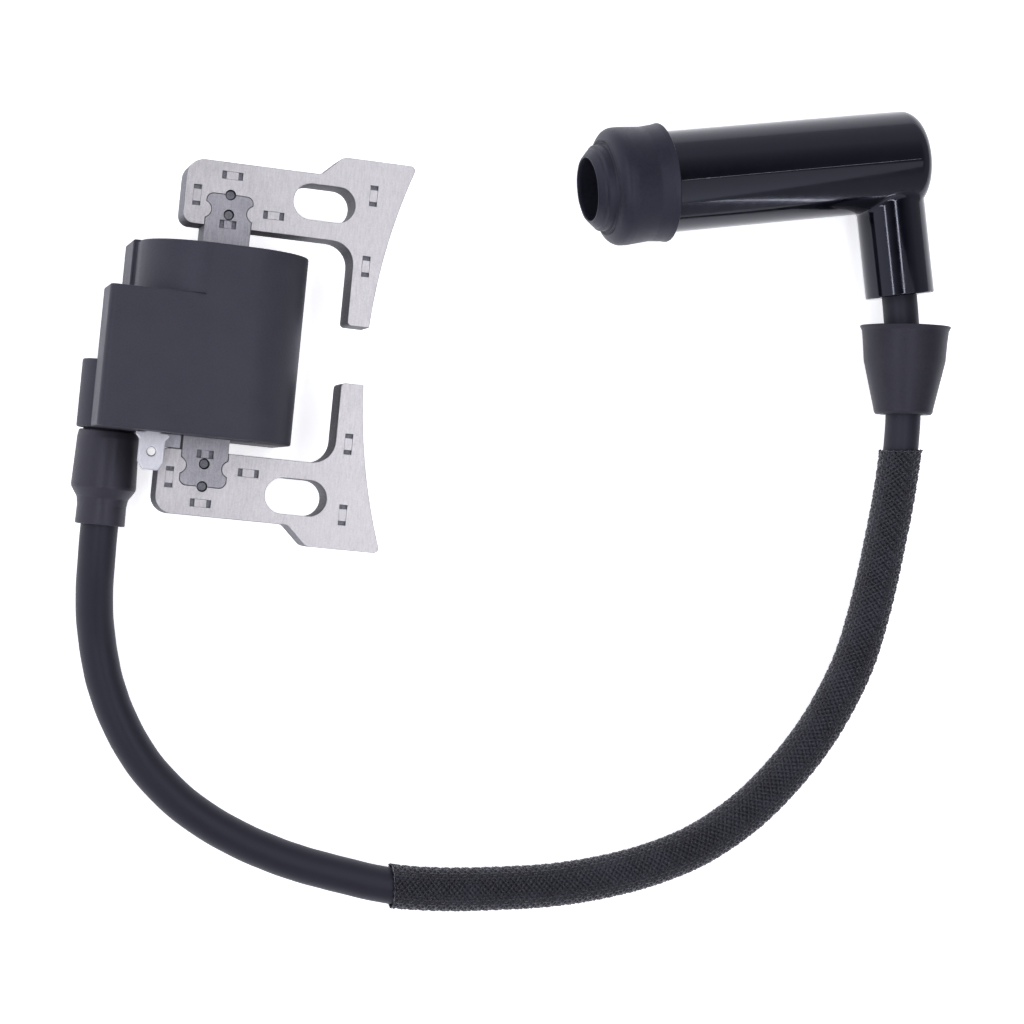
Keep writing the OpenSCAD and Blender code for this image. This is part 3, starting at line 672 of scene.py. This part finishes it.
YARNS = 20
YARN_PITCH = 20.6
YARN_LIFT = 0.15
YARN_HALF = 0.37
YARN_THICK = 0.2
YARN_STEP = 0.2
YARN_SECTION = ((-1, -0.1), (-0.6, 0.75), (0, 1.15), (0.6, 0.75), (1, -0.1))
BRAID_R = 4.02
FLARE = 0.12
FLARE_LENGTH = 1.5
# Each end of the sleeve was cut square to one of these
CUTS = (Vector((0.995, 0.1, 0)), Vector((-0.1, 0.995, 0)))


def cut_shift(s, angle, cut):
    """How far along the line a cut passes the distance s, at an angle round the sleeve."""
    here = np.array(s)
    out = LEAD_LINE.surface(here, np.array(angle), np.array(BRAID_R)) - LEAD_LINE.surface(
        here, np.array(angle), np.array(0.0))
    ahead = LEAD_LINE.surface(here + 0.5, np.array(0.0), np.array(0.0)) - LEAD_LINE.surface(
        here - 0.5, np.array(0.0), np.array(0.0))
    normal = np.array(cut)
    return -float(out @ normal) / float(ahead @ normal)


def yarn(index, way):
    """One flat yarn's points: it winds one way, over and under the yarns that wind the other way."""
    first = math.tau * index / YARNS
    last = first + way * math.tau * (SLEEVE_TO - SLEEVE_FROM) / YARN_PITCH
    start = SLEEVE_FROM + cut_shift(SLEEVE_FROM, first, CUTS[0]) + rng.uniform(-0.06, 0.06)
    end = SLEEVE_TO + cut_shift(SLEEVE_TO, last, CUTS[1]) + rng.uniform(-0.06, 0.06)
    count = int((end - start) / YARN_STEP)
    s = np.linspace(start, end, count)
    turn = way * math.tau * (s - SLEEVE_FROM) / YARN_PITCH
    crossing = 2 * (s - SLEEVE_FROM) * YARNS / YARN_PITCH
    wave = way * np.cos(math.pi * crossing) * (1 if index % 2 else -1)
    uneven = 1 + 0.25 * np.sin(s * 0.7 + index * 1.9)
    lift = YARN_LIFT * wave * uneven
    near_end = np.minimum(s - start, end - s)
    flare = FLARE * np.clip(1 - near_end / FLARE_LENGTH, 0, 1) ** 2
    radius = BRAID_R + lift + flare
    angle = first + turn
    lean = math.atan2(YARN_PITCH, math.tau * BRAID_R)
    across_a, across_s = math.sin(lean) / BRAID_R, -way * math.cos(lean)
    rows = []
    for offset, height in YARN_SECTION:
        shift = offset * YARN_HALF
        rows.append(LEAD_LINE.surface(s + shift * across_s, angle + shift * across_a,
                                      radius + (height - 0.5) * YARN_THICK))
    return np.stack(rows, axis=1).reshape(-1, 3), count


def make_sleeve():
    pieces = []
    for way, name in ((1, "braid_yarns_right"), (-1, "braid_yarns_left")):
        points, faces = [], []
        for index in range(YARNS):
            rows, count = yarn(index, way)
            base = len(points)
            points += list(rows)
            faces += [tuple(base + v for v in f) for f in tube_faces(count, len(YARN_SECTION))]
        pieces.append(mesh_piece(name, COIL, MATERIALS["braid"], points, faces, 80))
    pieces.append(make_gap_shade_sheet())
    pieces.append(make_cut_ends())
    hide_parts("braided_sleeve")
    return pieces


def make_gap_shade_sheet():
    """A dark sheet inside the braid, over the lead: painted shade in the gaps between the yarns."""
    sides = 48
    angles = np.arange(sides) * math.tau / sides
    points = []
    s = np.arange(SLEEVE_FROM + 1, SLEEVE_TO - 0.5, 1.0)
    rings = [(a, LEAD_R + 0.12) for a in s] + [(a, LEAD_R + 0.3) for a in s[::-1]]
    for a, r in rings:
        points += list(LEAD_LINE.surface(np.full(sides, a), angles, np.full(sides, r)))
    faces = ring_faces(len(rings), sides)
    return mesh_piece("braid_gap_shade_sheet", COIL, MATERIALS["braid_gap_shade"], points, faces, 70)


def ring_faces(rings, sides):
    """Faces between rings of points, the last ring joined to the first."""
    return [
        (i * sides + k, i * sides + (k + 1) % sides, ((i + 1) % rings) * sides + (k + 1) % sides,
         ((i + 1) % rings) * sides + k)
        for i in range(rings) for k in range(sides)
    ]


def make_cut_ends():
    """The thin pale rims where the sleeve's ends were cut hot."""
    points, faces = [], []
    sides, section = 120, 6
    for end, cut in zip((SLEEVE_FROM, SLEEVE_TO), CUTS):
        base = len(points)
        for k in range(sides):
            angle = math.tau * k / sides
            shift = cut_shift(end, angle, cut) + 0.05 * math.sin(angle * 17) + 0.04 * math.sin(angle * 31)
            for j in range(section):
                turn = math.tau * j / section
                radius = BRAID_R + FLARE + 0.17 * math.cos(turn)
                points.append(tuple(LEAD_LINE.surface(
                    np.array(end + shift + 0.05 * math.sin(turn)), np.array(angle), np.array(radius))))
        faces += [tuple(base + v for v in f) for f in ring_faces(sides, section)]
    return mesh_piece("braid_cut_ends", COIL, MATERIALS["cut_yarn"], points, faces, 70)


# ---- cap body ----

BARREL_R = 9.85
BARREL_END = 6.7
BARREL_END_R = 3.2
BARREL_MOUTH = 55
ELBOW_R = 6.85
ELBOW_END = 26.9
FILLET = 0.9
# Half the part of a turn where the elbow clears the barrel's end, in degrees
FILLET_OPEN = 27
# How deep the flash on the parting line is rooted in the barrel
FLASH_ROOT = 0.06


def solid(name, profile, place, sides):
    """A closed turned solid as an object of its own, for cutting and joining."""
    points, faces = lathe(profile, place, sides)
    mesh = bpy.data.meshes.new(name)
    mesh.from_pydata([tuple(MM * c for c in p) for p in points], [], faces)
    bm = bmesh.new()
    bm.from_mesh(mesh)
    bmesh.ops.remove_doubles(bm, verts=bm.verts, dist=1e-7)
    bmesh.ops.recalc_face_normals(bm, faces=bm.faces)
    bm.to_mesh(mesh)
    bm.free()
    thing = bpy.data.objects.new(name, mesh)
    bpy.context.scene.collection.objects.link(thing)
    return thing


def combine(target, tools):
    """Apply (operation, object) pairs to target and take the objects away. Gives back the new mesh."""
    for operation, tool in tools:
        modifier = target.modifiers.new(operation, "BOOLEAN")
        modifier.operation, modifier.solver, modifier.object = operation, "EXACT", tool
    mesh = bpy.data.meshes.new_from_object(target.evaluated_get(bpy.context.evaluated_depsgraph_get()))
    for thing in (target, *(tool for _, tool in tools)):
        bpy.data.objects.remove(thing)
    return mesh


def barrel_reach(x, z):
    """How far below the barrel's axis its surface is, under the point (x, z) of the cap's frame."""
    if x > BARREL_END - 0.02:
        return None
    radius = BARREL_R
    if x > BARREL_END - BARREL_END_R:
        step = x - BARREL_END + BARREL_END_R
        radius = BARREL_R - BARREL_END_R + math.sqrt(BARREL_END_R**2 - step**2)
    return math.sqrt(radius**2 - z**2) if radius > abs(z) else None


def barrel_normal(x, y, z):
    radial = Vector((0, y, z))
    slope = 0
    if x > BARREL_END - BARREL_END_R:
        slope = min(0.999, (x - BARREL_END + BARREL_END_R) / BARREL_END_R)
    return (radial.normalized() * math.sqrt(1 - slope**2) + Vector((slope, 0, 0))).normalized()


def fillet_bead(place):
    """The round fillet where the elbow leaves the barrel, open where the elbow clears the barrel's end."""
    steps, arc = 120, 6
    path = []
    for k in range(steps + 1):
        turn = math.radians(FILLET_OPEN) + (math.tau - math.radians(2 * FILLET_OPEN)) * k / steps
        x, z = ELBOW_R * math.cos(turn), ELBOW_R * math.sin(turn)
        reach = barrel_reach(x, z)
        path.append((Vector((x, -reach, z)), Vector((math.cos(turn), 0, math.sin(turn)))))
    points, faces = [], []
    for k, (at, out) in enumerate(path):
        before, after = path[max(k - 1, 0)][0], path[min(k + 1, steps)][0]
        along = (after - before).normalized()
        up = barrel_normal(*at)
        away = up.cross(along)
        away = away if away.dot(out) > 0 else -away
        size = FILLET * min(1, 0.15 + min(k, steps - k) / 12)
        first, last = at + away * size, at + Vector((0, -size, 0))
        ring = [first.lerp(at, t).lerp(at.lerp(last, t), t) for t in (j / arc for j in range(arc + 1))]
        ring += [last - out * 0.4, at - up * 0.4 - out * 0.4, first - up * 0.4]
        points += [place @ p for p in ring]
    count = arc + 4
    faces = tube_faces(steps + 1, count)
    return points, faces


def make_cap():
    """The cap's body: barrel and elbow in one moulding, bored through, with its parting line."""
    place = Matrix.Translation(CAP_AT) @ Matrix((-MOUTH_WAY, ELBOW_UP, -MOUTH_WAY.cross(ELBOW_UP))
                                               ).transposed().to_4x4()
    barrel = solid("barrel", rounded([
        (0, -BARREL_END, 0), (BARREL_R, -BARREL_END, BARREL_END_R), (BARREL_R, BARREL_MOUTH, 0.3),
        (0, BARREL_MOUTH, 0),
    ], 12), BARREL, 192)
    elbow = solid("elbow", rounded([
        (0, 0, 0), (ELBOW_R, 0, 1.6), (ELBOW_R, ELBOW_END, 0.35), (0, ELBOW_END, 0),
    ], 8), ELBOW, 160)
    bore = solid("bore", rounded([
        (0, -3, 0), (4.3, -3, 0.4), (4.3, 28, 0), (5.2, 28, 0), (5.2, 38, 0), (6, 38, 0), (6, 56, 0),
        (0, 56, 0),
    ], 3), BARREL, 96)
    elbow_bore = solid("elbow_bore", rounded([
        (0, 0.01, 0), (2.7, 0.01, 0), (2.7, 8.5, 0), (3.8, 8.5, 0), (3.8, ELBOW_END - 0.3, 0),
        (4.2, ELBOW_END + 1, 0), (0, ELBOW_END + 1, 0),
    ], 3), ELBOW, 96)
    mesh = combine(barrel, [("UNION", elbow), ("DIFFERENCE", bore), ("DIFFERENCE", elbow_bore)])
    bm = bmesh.new()
    bm.from_mesh(mesh)
    bpy.data.meshes.remove(mesh)
    points, faces = fillet_bead(place)
    add_shell(bm, points, faces)
    # The flash ridge takes the pale material, a painted highlight along the line
    points, faces = parting_line()
    add_shell(bm, points, faces, 1)
    chip_elbow_end(bm)
    cap = finish_mesh(bm, "cap_moulding", CAP, [MATERIALS["cap_plastic"], MATERIALS["flash_and_painted_highlight"]], 30)
    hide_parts("cap_body")
    return cap


def add_shell(bm, points, faces, material_index=0):
    verts = [bm.verts.new(tuple(MM * c for c in p)) for p in points]
    for face in faces:
        bm.faces.new([verts[i] for i in face]).material_index = material_index


def chip_elbow_end(bm):
    """The ragged end that trimming leaves on the elbow."""
    back = ELBOW.inverted()
    for vert in bm.verts:
        local = back @ (vert.co / MM)
        radius = math.hypot(local.y, local.z)
        if local.x > ELBOW_END - 0.5 and radius > ELBOW_R - 0.6:
            angle = math.atan2(local.z, local.y)
            nick = max(0, noise.noise(Vector((math.cos(angle) * 5, math.sin(angle) * 5, 2))) - 0.12)
            nick += 0.12 * abs(noise.noise(Vector((math.cos(angle) * 18, math.sin(angle) * 18, 5))))
            vert.co += ELBOW_UP * 0.55 * nick * MM


def parting_line():
    """A fine raised line of flash along the barrel's front, ragged near the mouth seal."""
    start, end, count = -3.3, 47.2, 180
    side = -0.077
    points = []
    for k in range(count + 1):
        u = start + (end - start) * k / count
        ragged = max(0, noise.noise(Vector((u * 0.9, 3.1, 0)))) * (0.3 + 0.7 * u / end)
        height = 0.05 + 0.08 * ragged + 0.02 * noise.noise(Vector((u * 3, 0, 0)))
        width = 0.075 + 0.09 * ragged + 0.02 * noise.noise(Vector((u * 2, 7, 0)))
        fade = min(1, k / 6, (count - k) / 3)
        crest = width * 0.35
        for offset, lift in ((-width, -FLASH_ROOT), (-crest, height), (crest, height), (width, -FLASH_ROOT)):
            angle = side + offset / BARREL_R
            radius = BARREL_R + (lift if lift < 0 else lift * fade)
            # BARREL's second axis is the elbow's up and its third is the back
            points.append(BARREL @ Vector((u, radius * math.sin(angle), -radius * math.cos(angle))))
    return points, tube_faces(count + 1, 4)


# ---- floor and light ----


def area_light(name, at, aim, size, radiance):
    """A rectangle of light, in millimetres. Its second side lies as near Y as the aim allows."""
    data = bpy.data.lights.new(name, "AREA")
    data.shape, data.size, data.size_y = "RECTANGLE", size[0] * MM, size[1] * MM
    data.energy = radiance * math.pi * data.size * data.size_y
    data.color = (0.92, 0.93, 1)
    light = bpy.data.objects.new(name, data)
    back = (Vector(at) - Vector(aim)).normalized()
    right = Vector((0, 1, 0)).cross(back).normalized()
    turn = Matrix((right, back.cross(right), back)).transposed()
    light.matrix_world = Matrix.Translation(Vector(at) * MM) @ turn.to_4x4()
    bpy.context.scene.collection.objects.link(light)
    return light


def make_world():
    """Soft grey all round, darker overhead."""
    world = bpy.data.worlds.new("studio")
    world.use_nodes = True
    nodes, links = world.node_tree.nodes, world.node_tree.links
    coordinates = nodes.new("ShaderNodeTexCoord")
    split = nodes.new("ShaderNodeSeparateXYZ")
    ramp = nodes.new("ShaderNodeValToRGB")
    links.new(coordinates.outputs["Generated"], split.inputs["Vector"])
    links.new(split.outputs["Z"], ramp.inputs["Fac"])
    elements = ramp.color_ramp.elements
    while len(elements) < 4:
        elements.new(0.5)
    for element, (position, grey) in zip(elements, ((0.0, 1.0), (0.6, 0.92), (0.88, 0.36), (0.97, 0.08))):
        element.position, element.color = position, (grey * 0.9, grey * 0.91, grey * 1.02, 1)
    # A little brighter from the left than from the right
    slope = nodes.new("ShaderNodeMath")
    slope.operation = "MULTIPLY_ADD"
    slope.inputs[1].default_value, slope.inputs[2].default_value = -0.4, 1.0
    links.new(split.outputs["X"], slope.inputs[0])
    links.new(slope.outputs["Value"], nodes["Background"].inputs["Strength"])
    links.new(ramp.outputs["Color"], nodes["Background"].inputs["Color"])
    bpy.context.scene.world = world


def make_floor():
    bm = bmesh.new()
    bmesh.ops.create_grid(bm, x_segments=1, y_segments=1, size=3)
    mesh = bpy.data.meshes.new("floor")
    bm.to_mesh(mesh)
    bm.free()
    floor = bpy.data.objects.new("floor", mesh)
    floor.location = (0, 0, cad_low.z)
    bpy.context.scene.collection.objects.link(floor)
    s = Shader("floor", Roughness=0.9)
    s.shader.inputs["Base Color"].default_value = (0.85, 0.85, 0.85, 1)
    s.shader.inputs["Emission Color"].default_value = (1, 1, 1, 1)
    s.shader.inputs["Emission Strength"].default_value = 0.62
    floor.data.materials.append(s.material)


def make_studio():
    bpy.context.scene.view_settings.view_transform = "Standard"
    bpy.context.scene.view_settings.gamma = 0.85
    make_world()
    make_floor()
    area_light("bar_left", (-130, 10, 290), (-20, 10, 0), (24, 460), 11)
    area_light("bar_right", (87, 10, 365), (60, 10, 0), (28, 460), 11)
    area_light("panel", (225, -245, 300), (225, -245, 0), (210, 570), 0.9)
    area_light("strip", (420, -390, 42), (100, 40, 0), (520, 12), 9)


make_camera()
paint_cad_nodes()
make_core()
make_housing()
make_boot()
make_cable_seal()
make_mouth_seal()
make_cap()
lead, lead_path = make_lead()
sleeve = make_sleeve()
make_studio()
